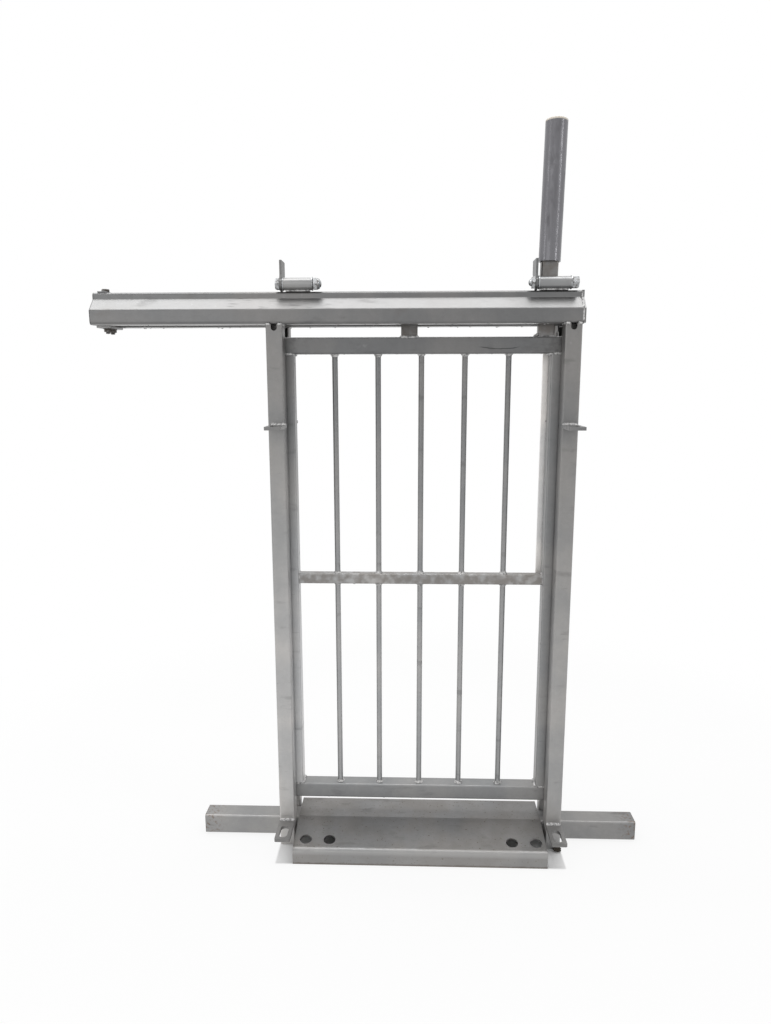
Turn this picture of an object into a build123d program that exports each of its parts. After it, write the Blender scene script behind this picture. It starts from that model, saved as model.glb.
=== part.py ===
from build123d import *
import math
import os

os.makedirs("parts", exist_ok=True)

# Millimetres, +Z up, Z = 0 on the ground
# X = 0 is the middle of the way through, Y = 0 the front faces of the front posts

# Frame
OPENING = 500.0
POST = 30.0
BASE = 40.0
WALL = 3.0
CORNER = 3.0
DEPTH = POST + BASE + POST
MID_Y = DEPTH / 2
POST_X = OPENING / 2 + POST / 2
FRONT_Y = POST / 2
REAR_Y = DEPTH - POST / 2
POST_TOP = 1020.0
BASE_LIFT = 2.0
BASE_LEFT = -440.0
BASE_RIGHT = 436.0

# Track, two rails side by side with a slot between them
RAIL_LEFT = -596.0
RAIL_RIGHT = 281.0
RAIL_TOP = POST_TOP + 58.0
SHOULDER_LOW = POST_TOP + 25.5
SHOULDER_HIGH = POST_TOP + 46.0
SHOULDER_IN = 20.0
LIP = POST
CAP = 4.0

# Leaf
LEAF_TUBE = 30.0
LEAF_X = -1.5
LEAF_INNER = 470.0
LEAF_BOTTOM = BASE_LIFT + BASE + 42.0
LEAF_TOP = POST_TOP - 21.0
STILE_X = LEAF_INNER / 2 + LEAF_TUBE / 2
MID_RAIL = 20.0
MID_RAIL_Z = (LEAF_BOTTOM + LEAF_TOP) / 2 + 1.5
BAR_D = 10.5
BAR_PITCH = (LEAF_INNER - 5 * BAR_D) / 6 + BAR_D
HANGER_X = -24.0
HANGER_TOP = POST_TOP + 40.0
HANDLE_W = 30.0
HANDLE_D = 20.0
HANDLE_X = 224.5
HANDLE_LEAN = 1.0
GRIP = 39.0
GRIP_BORE = 34.2
GRIP_LOW = RAIL_TOP + 52.0
GRIP_TOP = GRIP_LOW + 233.0
GRIP_CAP = 4.0
WHEEL_R = 13.0
WHEEL_W = 13.0
WHEEL_IN = 28.0
AXLE_R = 5.0
AXLE_Z = POST_TOP + WALL + WHEEL_R + 0.3

# Latches
LATCH_TUBE_R = 10.65
LATCH_BORE_R = 8.0
LATCH_Y = 21.5
LATCH_PAD = 2.2
LATCH_Z = RAIL_TOP + LATCH_PAD + LATCH_TUBE_R
LATCH_PLATE = 4.0
LATCH_GAP = 0.5
BOLT_R = 6.0
NUT_AF = 19.0
WASHER = 2.5
LEFT_TUBE = (-248.5, -198.5)
RIGHT_TUBE = (205.0, 259.5)

# Lugs and sill
LUG_LENGTH = 64.0
LUG = 6.0
LUG_LOW_Z = 48.0
LUG_HIGH_Z = POST_TOP - 184.0
LUG_SHIFT = 4.0
SLOT_W = 16.0
SLOT_L = 37.0
SLOT_Y = 38.5
SILL_LEFT = -245.8
SILL_RIGHT = 244.5
SILL_FRONT = -61.0
SILL_FOLD_Z = 31.0
SILL_BEND = 7.0
SILL_HOLE = 23.5
SILL_HOLE_Y = -34.0
SILL_HOLE_XS = (-223.0, -176.6, 179.4, 226.0)


# The base tube lies across, between the front and the rear posts
with BuildPart() as base_tube:
    with BuildSketch(Plane.YZ.offset(BASE_LEFT)):
        with Locations((MID_Y, BASE_LIFT + BASE / 2)):
            RectangleRounded(BASE, BASE, CORNER + 1)
            RectangleRounded(BASE - 2 * WALL, BASE - 2 * WALL, CORNER - 1, mode=Mode.SUBTRACT)
    extrude(amount=BASE_RIGHT - BASE_LEFT)
base_tube.part.label = "base_tube"
export_step(base_tube.part, "parts/base_tube.step")

# Front posts, each with a round-ended vent notch at the top of its front face
NOTCH_W = 11.0
NOTCH_D = 11.5
with BuildPart() as front_post_left:
    with BuildSketch(Plane.XY):
        with Locations((-POST_X, FRONT_Y)):
            RectangleRounded(POST, POST, CORNER)
            RectangleRounded(POST - 2 * WALL, POST - 2 * WALL, CORNER / 2, mode=Mode.SUBTRACT)
    extrude(amount=POST_TOP)
    with BuildSketch(Plane.XZ):
        with Locations((-POST_X, POST_TOP)):
            Rectangle(NOTCH_W, 2 * (NOTCH_D - NOTCH_W / 2))
        with Locations((-POST_X, POST_TOP - NOTCH_D + NOTCH_W / 2)):
            Circle(NOTCH_W / 2)
    extrude(amount=-POST / 2, mode=Mode.SUBTRACT)
front_post_left.part.label = "front_post_left"
export_step(front_post_left.part, "parts/front_post_left.step")

with BuildPart() as front_post_right:
    mirror(front_post_left.part, about=Plane.YZ)
front_post_right.part.label = "front_post_right"
export_step(front_post_right.part, "parts/front_post_right.step")

# Rear posts, notched beside the inner corner of their front face
REAR_NOTCH_W = 7.0
REAR_NOTCH_D = 19.0
REAR_NOTCH_X = POST_X - POST / 2 + 5.0
with BuildPart() as rear_post_left:
    with BuildSketch(Plane.XY):
        with Locations((-POST_X, REAR_Y)):
            RectangleRounded(POST, POST, CORNER)
            RectangleRounded(POST - 2 * WALL, POST - 2 * WALL, CORNER / 2, mode=Mode.SUBTRACT)
    extrude(amount=POST_TOP)
    with BuildSketch(Plane.XZ.offset(-(DEPTH - POST - 1))):
        with Locations((-REAR_NOTCH_X, POST_TOP)):
            Rectangle(REAR_NOTCH_W, 2 * (REAR_NOTCH_D - REAR_NOTCH_W / 2))
        with Locations((-REAR_NOTCH_X, POST_TOP - REAR_NOTCH_D + REAR_NOTCH_W / 2)):
            Circle(REAR_NOTCH_W / 2)
    extrude(amount=-(POST / 2 + 1), mode=Mode.SUBTRACT)
rear_post_left.part.label = "rear_post_left"
export_step(rear_post_left.part, "parts/rear_post_left.step")

with BuildPart() as rear_post_right:
    mirror(rear_post_left.part, about=Plane.YZ)
rear_post_right.part.label = "rear_post_right"
export_step(rear_post_right.part, "parts/rear_post_right.step")

# A flat keeper strip behind the closing edge of the leaf, down to the mid rail
KEEPER_W = 25.0
KEEPER_T = 6.0
KEEPER_LOW = MID_RAIL_Z - 3.0
with BuildPart() as keeper_strip:
    with Locations((OPENING / 2 - KEEPER_W / 2, DEPTH - POST + KEEPER_T / 2, (POST_TOP + KEEPER_LOW) / 2)):
        Box(KEEPER_W, KEEPER_T, POST_TOP - KEEPER_LOW)
keeper_strip.part.label = "keeper_strip"
export_step(keeper_strip.part, "parts/keeper_strip.step")

# Front rail of the track, a folded section with a lip under the wheels
SLOPE = math.hypot(SHOULDER_IN, SHOULDER_HIGH - SHOULDER_LOW)
FOLD_DROP = WALL * (SLOPE - (SHOULDER_HIGH - SHOULDER_LOW)) / SHOULDER_IN
FOOT = (0, POST_TOP)
SHOULDER = (0, SHOULDER_LOW)
NECK = (SHOULDER_IN, SHOULDER_HIGH)
CREST = (SHOULDER_IN, RAIL_TOP)
CREST_IN = (SHOULDER_IN + WALL, RAIL_TOP - WALL)
NECK_IN = (SHOULDER_IN + WALL, SHOULDER_HIGH - FOLD_DROP)
SHOULDER_INSIDE = (WALL, SHOULDER_LOW - FOLD_DROP)
FOOT_IN = (WALL, POST_TOP + WALL)
INNER_BEND = 2.5
with BuildPart() as rail_front:
    with BuildSketch(Plane.YZ.offset(RAIL_LEFT)):
        with BuildLine():
            Polyline(
                (LIP, POST_TOP),
                FOOT,
                SHOULDER,
                NECK,
                CREST,
                (LIP, RAIL_TOP),
                (LIP, RAIL_TOP - WALL),
                CREST_IN,
                NECK_IN,
                SHOULDER_INSIDE,
                FOOT_IN,
                (LIP, POST_TOP + WALL),
                (LIP, POST_TOP),
            )
        make_face()
    extrude(amount=RAIL_RIGHT - RAIL_LEFT)
    for y, z in (FOOT, SHOULDER, CREST, NECK_IN):
        fillet(rail_front.edges().filter_by(Axis.X).sort_by_distance((0, y, z))[0], INNER_BEND + WALL)
    for y, z in (NECK, CREST_IN, SHOULDER_INSIDE, FOOT_IN):
        fillet(rail_front.edges().filter_by(Axis.X).sort_by_distance((0, y, z))[0], INNER_BEND)
rail_front.part.label = "rail_front"
export_step(rail_front.part, "parts/rail_front.step")

with BuildPart() as rail_rear:
    mirror(rail_front.part, about=Plane.XZ.offset(-MID_Y))
rail_rear.part.label = "rail_rear"
export_step(rail_rear.part, "parts/rail_rear.step")

# End cap, a plate cut to the outline of both rails
with BuildPart() as track_end_cap:
    with BuildSketch(Plane.YZ.offset(RAIL_RIGHT)):
        with BuildLine():
            Polyline(
                (0, POST_TOP),
                (0, SHOULDER_LOW),
                (SHOULDER_IN, SHOULDER_HIGH),
                (SHOULDER_IN, RAIL_TOP),
                (DEPTH - SHOULDER_IN, RAIL_TOP),
                (DEPTH - SHOULDER_IN, SHOULDER_HIGH),
                (DEPTH, SHOULDER_LOW),
                (DEPTH, POST_TOP),
                (0, POST_TOP),
            )
        make_face()
    extrude(amount=CAP)
track_end_cap.part.label = "track_end_cap"
export_step(track_end_cap.part, "parts/track_end_cap.step")

# Stop at the open end: a flat under the rails, a flat over them and two bolts
STOP_T = 4.0
STOP_TOP_T = 2.5
STOP_LENGTH = 25.0
STOP_BOLT_R = 4.0
STOP_NUT_AF = 13.0
STOP_NUT = 6.5
LONG_BOLT = (RAIL_LEFT + 16.5, MID_Y - 10.0)
SHORT_BOLT = (LONG_BOLT[0], MID_Y + 12.0)
STOP_MID_X = RAIL_LEFT + 4.0 + STOP_LENGTH / 2
BOLT_FOOT = POST_TOP - STOP_T - STOP_NUT
with BuildPart() as track_stop_flats:
    with Locations((STOP_MID_X, MID_Y, POST_TOP - STOP_T / 2)):
        Box(STOP_LENGTH, DEPTH - 40, STOP_T)
    with Locations((LONG_BOLT[0], MID_Y, RAIL_TOP + STOP_TOP_T / 2)):
        Box(16, DEPTH - 2 * SHOULDER_IN - 4, STOP_TOP_T)
    with BuildSketch(Plane.XY.offset(POST_TOP - STOP_T)):
        with Locations(LONG_BOLT, SHORT_BOLT):
            Circle(STOP_BOLT_R)
    extrude(amount=RAIL_TOP + STOP_TOP_T - POST_TOP + STOP_T, mode=Mode.SUBTRACT)
track_stop_flats.part.label = "track_stop_flats"
export_step(track_stop_flats.part, "parts/track_stop_flats.step")

with BuildPart() as track_stop_bolts:
    with BuildSketch(Plane.XY.offset(BOLT_FOOT)):
        with Locations(LONG_BOLT, SHORT_BOLT):
            RegularPolygon(STOP_NUT_AF / 2, 6, major_radius=False)
    extrude(amount=STOP_NUT)
    with BuildSketch(Plane.XY.offset(BOLT_FOOT)):
        with Locations(LONG_BOLT):
            Circle(STOP_BOLT_R)
    extrude(amount=RAIL_TOP + STOP_TOP_T - BOLT_FOOT)
    with BuildSketch(Plane.XY.offset(BOLT_FOOT)):
        with Locations(SHORT_BOLT):
            Circle(STOP_BOLT_R)
    extrude(amount=POST_TOP + 22 - BOLT_FOOT)
    with BuildSketch(Plane.XY.offset(RAIL_TOP + STOP_TOP_T)):
        with Locations(LONG_BOLT):
            RegularPolygon(STOP_NUT_AF / 2, 6, major_radius=False)
    extrude(amount=STOP_NUT)
    with BuildSketch(Plane.XY.offset(POST_TOP)):
        with Locations(SHORT_BOLT):
            RegularPolygon(STOP_NUT_AF / 2, 6, major_radius=False)
    extrude(amount=STOP_NUT)
track_stop_bolts.part.label = "track_stop_bolts"
export_step(track_stop_bolts.part, "parts/track_stop_bolts.step")

# Latch tubes, each on a weld pad along the top of the front rail
PAD_W = 7.0
PAD_H = LATCH_PAD + 1.5
with BuildPart() as latch_tube_left:
    with BuildSketch(Plane.YZ.offset(LEFT_TUBE[0])):
        with Locations((LATCH_Y, LATCH_Z)):
            Circle(LATCH_TUBE_R)
            Circle(LATCH_BORE_R, mode=Mode.SUBTRACT)
    extrude(amount=LEFT_TUBE[1] - LEFT_TUBE[0])
    with Locations(((LEFT_TUBE[0] + LEFT_TUBE[1]) / 2, LATCH_Y + 1, RAIL_TOP + PAD_H / 2)):
        Box(LEFT_TUBE[1] - LEFT_TUBE[0] - 6, PAD_W, PAD_H)
    with Locations(((LEFT_TUBE[0] + LEFT_TUBE[1]) / 2, LATCH_Y, LATCH_Z)):
        Cylinder(LATCH_BORE_R, 2 * (LEFT_TUBE[1] - LEFT_TUBE[0]), rotation=(0, 90, 0), mode=Mode.SUBTRACT)
latch_tube_left.part.label = "latch_tube_left"
export_step(latch_tube_left.part, "parts/latch_tube_left.step")

with BuildPart() as latch_tube_right:
    with BuildSketch(Plane.YZ.offset(RIGHT_TUBE[0])):
        with Locations((LATCH_Y, LATCH_Z)):
            Circle(LATCH_TUBE_R)
            Circle(LATCH_BORE_R, mode=Mode.SUBTRACT)
    extrude(amount=RIGHT_TUBE[1] - RIGHT_TUBE[0])
    with Locations(((RIGHT_TUBE[0] + RIGHT_TUBE[1]) / 2, LATCH_Y + 1, RAIL_TOP + PAD_H / 2)):
        Box(RIGHT_TUBE[1] - RIGHT_TUBE[0] - 6, PAD_W, PAD_H)
    with Locations(((RIGHT_TUBE[0] + RIGHT_TUBE[1]) / 2, LATCH_Y, LATCH_Z)):
        Cylinder(LATCH_BORE_R, 2 * (RIGHT_TUBE[1] - RIGHT_TUBE[0]), rotation=(0, 90, 0), mode=Mode.SUBTRACT)
latch_tube_right.part.label = "latch_tube_right"
export_step(latch_tube_right.part, "parts/latch_tube_right.step")

# Latch plates stand on the left of their tubes and turn forward about the bolts
LEFT_PLATE_X = LEFT_TUBE[0] - WASHER - LATCH_GAP - LATCH_PLATE
RIGHT_PLATE_X = RIGHT_TUBE[0] - WASHER - LATCH_GAP - LATCH_PLATE
EYE_R = 10.0
PLATE_TOP = RAIL_TOP + 54.0
PLATE_FRONT = 18.0
PLATE_REAR = 54.0
HEEL_GAP = 0.5
PLATE_POINTS = [
    (LATCH_Y - EYE_R, LATCH_Z),
    (PLATE_FRONT, LATCH_Z + 16),
    (PLATE_FRONT, PLATE_TOP),
    (PLATE_REAR, PLATE_TOP),
    (PLATE_REAR, LATCH_Z + 18),
    (LATCH_Y + EYE_R, LATCH_Z - 2),
    (LATCH_Y + EYE_R - 1.5, RAIL_TOP + HEEL_GAP),
    (LATCH_Y + 2, RAIL_TOP + HEEL_GAP),
    (LATCH_Y - EYE_R, LATCH_Z),
]
with BuildPart() as latch_plate_left:
    with BuildSketch(Plane.YZ.offset(LEFT_PLATE_X)):
        with BuildLine():
            Polyline(*PLATE_POINTS)
        make_face()
        with Locations((LATCH_Y, LATCH_Z)):
            Circle(EYE_R)
            Circle(BOLT_R + 0.25, mode=Mode.SUBTRACT)
    extrude(amount=LATCH_PLATE)
latch_plate_left.part.label = "latch_plate_left"
export_step(latch_plate_left.part, "parts/latch_plate_left.step")

with BuildPart() as latch_plate_right:
    with Locations((RIGHT_PLATE_X - LEFT_PLATE_X, 0, 0)):
        add(latch_plate_left.part)
latch_plate_right.part.label = "latch_plate_right"
export_step(latch_plate_right.part, "parts/latch_plate_right.step")

# Latch bolts with their heads, washers and nuts
LEFT_HEAD = 7.5
NUT = 12.0
BOLT_END = 3.5
with BuildPart() as latch_bolt_left:
    with BuildSketch(Plane.YZ.offset(LEFT_PLATE_X - LATCH_GAP - LEFT_HEAD)):
        with Locations((LATCH_Y, LATCH_Z)):
            RegularPolygon(NUT_AF / 2, 6, major_radius=False)
    extrude(amount=LEFT_HEAD)
    with BuildSketch(Plane.YZ.offset(LEFT_PLATE_X - LATCH_GAP)):
        with Locations((LATCH_Y, LATCH_Z)):
            Circle(BOLT_R)
    extrude(amount=LEFT_TUBE[1] + WASHER + NUT + BOLT_END - LEFT_PLATE_X + LATCH_GAP)
    with BuildSketch(Plane.YZ.offset(LEFT_TUBE[0] - WASHER)):
        with Locations((LATCH_Y, LATCH_Z)):
            Circle(LATCH_TUBE_R)
    extrude(amount=WASHER)
    with BuildSketch(Plane.YZ.offset(LEFT_TUBE[1])):
        with Locations((LATCH_Y, LATCH_Z)):
            Circle(LATCH_TUBE_R)
    extrude(amount=WASHER)
    with BuildSketch(Plane.YZ.offset(LEFT_TUBE[1] + WASHER)):
        with Locations((LATCH_Y, LATCH_Z)):
            RegularPolygon(NUT_AF / 2, 6, major_radius=False)
    extrude(amount=NUT)
latch_bolt_left.part.label = "latch_bolt_left"
export_step(latch_bolt_left.part, "parts/latch_bolt_left.step")

RIGHT_NUT = 6.0
RIGHT_END = 6.0
RIGHT_HEAD = 12.0
with BuildPart() as latch_bolt_right:
    with BuildSketch(Plane.YZ.offset(RIGHT_PLATE_X - LATCH_GAP - RIGHT_NUT - RIGHT_END)):
        with Locations((LATCH_Y, LATCH_Z)):
            Circle(BOLT_R)
    extrude(amount=RIGHT_TUBE[1] + WASHER - RIGHT_PLATE_X + LATCH_GAP + RIGHT_NUT + RIGHT_END)
    with BuildSketch(Plane.YZ.offset(RIGHT_PLATE_X - LATCH_GAP - RIGHT_NUT)):
        with Locations((LATCH_Y, LATCH_Z)):
            RegularPolygon(NUT_AF / 2, 6, major_radius=False)
    extrude(amount=RIGHT_NUT)
    with BuildSketch(Plane.YZ.offset(RIGHT_TUBE[0] - WASHER)):
        with Locations((LATCH_Y, LATCH_Z)):
            Circle(LATCH_TUBE_R)
    extrude(amount=WASHER)
    with BuildSketch(Plane.YZ.offset(RIGHT_TUBE[1])):
        with Locations((LATCH_Y, LATCH_Z)):
            Circle(LATCH_TUBE_R)
    extrude(amount=WASHER)
    with BuildSketch(Plane.YZ.offset(RIGHT_TUBE[1] + WASHER)):
        with Locations((LATCH_Y, LATCH_Z)):
            RegularPolygon(NUT_AF / 2, 6, major_radius=False)
    extrude(amount=RIGHT_HEAD)
latch_bolt_right.part.label = "latch_bolt_right"
export_step(latch_bolt_right.part, "parts/latch_bolt_right.step")

# Slotted lugs, flat plates that stand out from the posts before and behind
with BuildPart() as front_lug_lower_left:
    with BuildSketch(Plane.XY.offset(LUG_LOW_Z)) as lug_outline:
        with Locations((-POST_X, -LUG_LENGTH / 2)):
            Rectangle(POST, LUG_LENGTH)
        fillet(lug_outline.vertices().group_by(Axis.Y)[0], CORNER)
        with Locations((-POST_X, -SLOT_Y)):
            SlotOverall(SLOT_L, SLOT_W, rotation=90, mode=Mode.SUBTRACT)
    extrude(amount=LUG)
front_lug_lower_left.part.label = "front_lug_lower_left"
export_step(front_lug_lower_left.part, "parts/front_lug_lower_left.step")

with BuildPart() as front_lug_lower_right:
    mirror(front_lug_lower_left.part, about=Plane.YZ)
front_lug_lower_right.part.label = "front_lug_lower_right"
export_step(front_lug_lower_right.part, "parts/front_lug_lower_right.step")

with BuildPart() as front_lug_upper_left:
    with Locations((LUG_SHIFT, 0, LUG_HIGH_Z - LUG_LOW_Z)):
        add(front_lug_lower_left.part)
front_lug_upper_left.part.label = "front_lug_upper_left"
export_step(front_lug_upper_left.part, "parts/front_lug_upper_left.step")

with BuildPart() as front_lug_upper_right:
    with Locations((0, 0, LUG_HIGH_Z - LUG_LOW_Z)):
        add(front_lug_lower_right.part)
front_lug_upper_right.part.label = "front_lug_upper_right"
export_step(front_lug_upper_right.part, "parts/front_lug_upper_right.step")

with BuildPart() as rear_lug_lower_left:
    mirror(front_lug_lower_left.part, about=Plane.XZ.offset(-MID_Y))
rear_lug_lower_left.part.label = "rear_lug_lower_left"
export_step(rear_lug_lower_left.part, "parts/rear_lug_lower_left.step")

with BuildPart() as rear_lug_lower_right:
    mirror(rear_lug_lower_left.part, about=Plane.YZ)
rear_lug_lower_right.part.label = "rear_lug_lower_right"
export_step(rear_lug_lower_right.part, "parts/rear_lug_lower_right.step")

with BuildPart() as rear_lug_upper_left:
    with Locations((0, 0, LUG_HIGH_Z - LUG_LOW_Z)):
        add(rear_lug_lower_left.part)
rear_lug_upper_left.part.label = "rear_lug_upper_left"
export_step(rear_lug_upper_left.part, "parts/rear_lug_upper_left.step")

with BuildPart() as rear_lug_upper_right:
    mirror(rear_lug_upper_left.part, about=Plane.YZ)
rear_lug_upper_right.part.label = "rear_lug_upper_right"
export_step(rear_lug_upper_right.part, "parts/rear_lug_upper_right.step")

# Sill plate, folded over the base tube, sloping to its front flange
SILL_Z = BASE_LIFT + BASE
SILL_RUN = POST - SILL_FRONT
SILL_FALL = SILL_Z + WALL - SILL_FOLD_Z
SILL_SLOPE = math.hypot(SILL_RUN, SILL_FALL)
TOP_SHIFT = WALL * (SILL_SLOPE - SILL_RUN) / SILL_FALL
FRONT_DROP = WALL * (SILL_SLOPE - SILL_FALL) / SILL_RUN
with BuildPart() as sill_plate:
    with BuildSketch(Plane.YZ.offset(SILL_LEFT)):
        with BuildLine():
            Polyline(
                (DEPTH, 0),
                (DEPTH, SILL_Z + WALL),
                (POST - TOP_SHIFT, SILL_Z + WALL),
                (SILL_FRONT, SILL_FOLD_Z),
                (SILL_FRONT, 0),
                (SILL_FRONT + WALL, 0),
                (SILL_FRONT + WALL, SILL_FOLD_Z - FRONT_DROP),
                (POST, SILL_Z),
                (DEPTH - WALL, SILL_Z),
                (DEPTH - WALL, 0),
                (DEPTH, 0),
            )
        make_face()
    extrude(amount=SILL_RIGHT - SILL_LEFT)
    bends = [
        (SILL_FRONT, SILL_FOLD_Z, SILL_BEND + WALL),
        (SILL_FRONT + WALL, SILL_FOLD_Z - FRONT_DROP, SILL_BEND),
        (DEPTH, SILL_Z + WALL, 2 * WALL),
        (DEPTH - WALL, SILL_Z, WALL),
    ]
    for y, z, radius in bends:
        fillet(sill_plate.edges().filter_by(Axis.X).sort_by_distance((0, y, z))[0], radius)
    with BuildSketch(Plane.XY):
        with Locations(*[(x, SILL_HOLE_Y) for x in SILL_HOLE_XS]):
            Circle(SILL_HOLE / 2)
    extrude(amount=SILL_Z + 10, mode=Mode.SUBTRACT)
sill_plate.part.label = "sill_plate"
export_step(sill_plate.part, "parts/sill_plate.step")

# Leaf rails and stiles, the rails running over the ends of the stiles
with BuildPart() as leaf_top_rail:
    with BuildSketch(Plane.YZ.offset(LEAF_X - STILE_X - LEAF_TUBE / 2)):
        with Locations((MID_Y, LEAF_TOP - LEAF_TUBE / 2)):
            RectangleRounded(LEAF_TUBE, LEAF_TUBE, CORNER)
            RectangleRounded(LEAF_TUBE - 5, LEAF_TUBE - 5, 1, mode=Mode.SUBTRACT)
    extrude(amount=2 * STILE_X + LEAF_TUBE)
leaf_top_rail.part.label = "leaf_top_rail"
export_step(leaf_top_rail.part, "parts/leaf_top_rail.step")

with BuildPart() as leaf_bottom_rail:
    with Locations((0, 0, LEAF_BOTTOM + LEAF_TUBE - LEAF_TOP)):
        add(leaf_top_rail.part)
leaf_bottom_rail.part.label = "leaf_bottom_rail"
export_step(leaf_bottom_rail.part, "parts/leaf_bottom_rail.step")

with BuildPart() as leaf_stile_left:
    with BuildSketch(Plane.XY.offset(LEAF_BOTTOM + LEAF_TUBE)):
        with Locations((LEAF_X - STILE_X, MID_Y)):
            RectangleRounded(LEAF_TUBE, LEAF_TUBE, CORNER)
            RectangleRounded(LEAF_TUBE - 5, LEAF_TUBE - 5, 1, mode=Mode.SUBTRACT)
    extrude(amount=LEAF_TOP - LEAF_BOTTOM - 2 * LEAF_TUBE)
leaf_stile_left.part.label = "leaf_stile_left"
export_step(leaf_stile_left.part, "parts/leaf_stile_left.step")

with BuildPart() as leaf_stile_right:
    with Locations((2 * STILE_X, 0, 0)):
        add(leaf_stile_left.part)
leaf_stile_right.part.label = "leaf_stile_right"
export_step(leaf_stile_right.part, "parts/leaf_stile_right.step")

# Round bars, passing through the mid rail
BAR_XS = [LEAF_X + BAR_PITCH * step for step in (-2, -1, 0, 1, 2)]
with BuildPart() as leaf_mid_rail:
    with BuildSketch(Plane.YZ.offset(LEAF_X - LEAF_INNER / 2)):
        with Locations((MID_Y, MID_RAIL_Z)):
            RectangleRounded(MID_RAIL, MID_RAIL, 2.5)
            RectangleRounded(MID_RAIL - 4, MID_RAIL - 4, 0.8, mode=Mode.SUBTRACT)
    extrude(amount=LEAF_INNER)
    with Locations(*[(x, MID_Y, MID_RAIL_Z) for x in BAR_XS]):
        Cylinder(BAR_D / 2, 2 * MID_RAIL, mode=Mode.SUBTRACT)
leaf_mid_rail.part.label = "leaf_mid_rail"
export_step(leaf_mid_rail.part, "parts/leaf_mid_rail.step")

with BuildPart() as leaf_bars:
    with BuildSketch(Plane.XY.offset(LEAF_BOTTOM + LEAF_TUBE)):
        with Locations(*[(x, MID_Y) for x in BAR_XS]):
            Circle(BAR_D / 2)
    extrude(amount=LEAF_TOP - LEAF_BOTTOM - 2 * LEAF_TUBE)
leaf_bars.part.label = "leaf_bars"
export_step(leaf_bars.part, "parts/leaf_bars.step")

# Hanger and handle post stand on the top rail and rise through the slot of the track
with BuildPart() as hanger:
    with BuildSketch(Plane.XY.offset(LEAF_TOP)):
        with Locations((HANGER_X, MID_Y)):
            RectangleRounded(LEAF_TUBE, LEAF_TUBE, CORNER)
            RectangleRounded(LEAF_TUBE - 5, LEAF_TUBE - 5, 1, mode=Mode.SUBTRACT)
    extrude(amount=HANGER_TOP - LEAF_TOP)
    with BuildSketch(Plane.XZ):
        with Locations((HANGER_X, AXLE_Z)):
            Circle(AXLE_R)
    extrude(amount=-DEPTH, mode=Mode.SUBTRACT)
hanger.part.label = "hanger"
export_step(hanger.part, "parts/hanger.step")

LEAN = math.radians(HANDLE_LEAN)
HANDLE_AXLE_X = HANDLE_X + (AXLE_Z - LEAF_TOP) * math.tan(LEAN)
lean_plane = Plane(
    origin=(HANDLE_X, MID_Y, LEAF_TOP),
    x_dir=(math.cos(LEAN), 0, -math.sin(LEAN)),
    z_dir=(math.sin(LEAN), 0, math.cos(LEAN)),
)
with BuildPart() as handle_post:
    with BuildSketch(lean_plane.offset(-10)):
        RectangleRounded(HANDLE_W, HANDLE_D, CORNER)
        RectangleRounded(HANDLE_W - 5, HANDLE_D - 5, 1, mode=Mode.SUBTRACT)
    extrude(amount=GRIP_TOP - LEAF_TOP + 10)
    split(bisect_by=Plane.XY.offset(LEAF_TOP), keep=Keep.TOP)
    with BuildSketch(Plane.XZ):
        with Locations((HANDLE_AXLE_X, AXLE_Z)):
            Circle(AXLE_R)
    extrude(amount=-DEPTH, mode=Mode.SUBTRACT)
handle_post.part.label = "handle_post"
export_step(handle_post.part, "parts/handle_post.step")

with BuildPart() as grip_sleeve:
    with BuildSketch(lean_plane.offset(GRIP_LOW - LEAF_TOP)):
        Circle(GRIP / 2)
        Circle(GRIP_BORE / 2, mode=Mode.SUBTRACT)
    extrude(amount=GRIP_TOP - GRIP_LOW)
grip_sleeve.part.label = "grip_sleeve"
export_step(grip_sleeve.part, "parts/grip_sleeve.step")

# Cap that closes the top of the grip
with BuildPart() as grip_cap:
    with BuildSketch(lean_plane.offset(GRIP_TOP - LEAF_TOP)):
        Circle(GRIP / 2)
    extrude(amount=GRIP_CAP)
    fillet(grip_cap.edges().group_by(Axis.Z)[-1], GRIP_CAP * 0.7)
grip_cap.part.label = "grip_cap"
export_step(grip_cap.part, "parts/grip_cap.step")

# Axles with their heads and collars, one through each upright
AXLE_END = 3.0
COLLAR_R = 7.5
AXLE_Y = WHEEL_IN - WHEEL_W - AXLE_END
with BuildPart() as axle_mid:
    with BuildSketch(Plane.XZ.offset(-AXLE_Y)):
        with Locations((HANGER_X, AXLE_Z)):
            Circle(AXLE_R)
    extrude(amount=-(DEPTH - 2 * AXLE_Y))
    with BuildSketch(Plane.XZ.offset(-AXLE_Y)):
        with Locations((HANGER_X, AXLE_Z)):
            Circle(COLLAR_R)
    extrude(amount=-AXLE_END)
    with BuildSketch(Plane.XZ.offset(-WHEEL_IN)):
        with Locations((HANGER_X, AXLE_Z)):
            Circle(COLLAR_R)
    extrude(amount=-(MID_Y - LEAF_TUBE / 2 - WHEEL_IN))
    mirror(axle_mid.part, about=Plane.XZ.offset(-MID_Y))
axle_mid.part.label = "axle_mid"
export_step(axle_mid.part, "parts/axle_mid.step")

with BuildPart() as axle_handle:
    with BuildSketch(Plane.XZ.offset(-AXLE_Y)):
        with Locations((HANDLE_AXLE_X, AXLE_Z)):
            Circle(AXLE_R)
    extrude(amount=-(DEPTH - 2 * AXLE_Y))
    with BuildSketch(Plane.XZ.offset(-AXLE_Y)):
        with Locations((HANDLE_AXLE_X, AXLE_Z)):
            Circle(COLLAR_R)
    extrude(amount=-AXLE_END)
    with BuildSketch(Plane.XZ.offset(-WHEEL_IN)):
        with Locations((HANDLE_AXLE_X, AXLE_Z)):
            Circle(COLLAR_R)
    extrude(amount=-(MID_Y - HANDLE_D / 2 - WHEEL_IN))
    mirror(axle_handle.part, about=Plane.XZ.offset(-MID_Y))
axle_handle.part.label = "axle_handle"
export_step(axle_handle.part, "parts/axle_handle.step")

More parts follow.
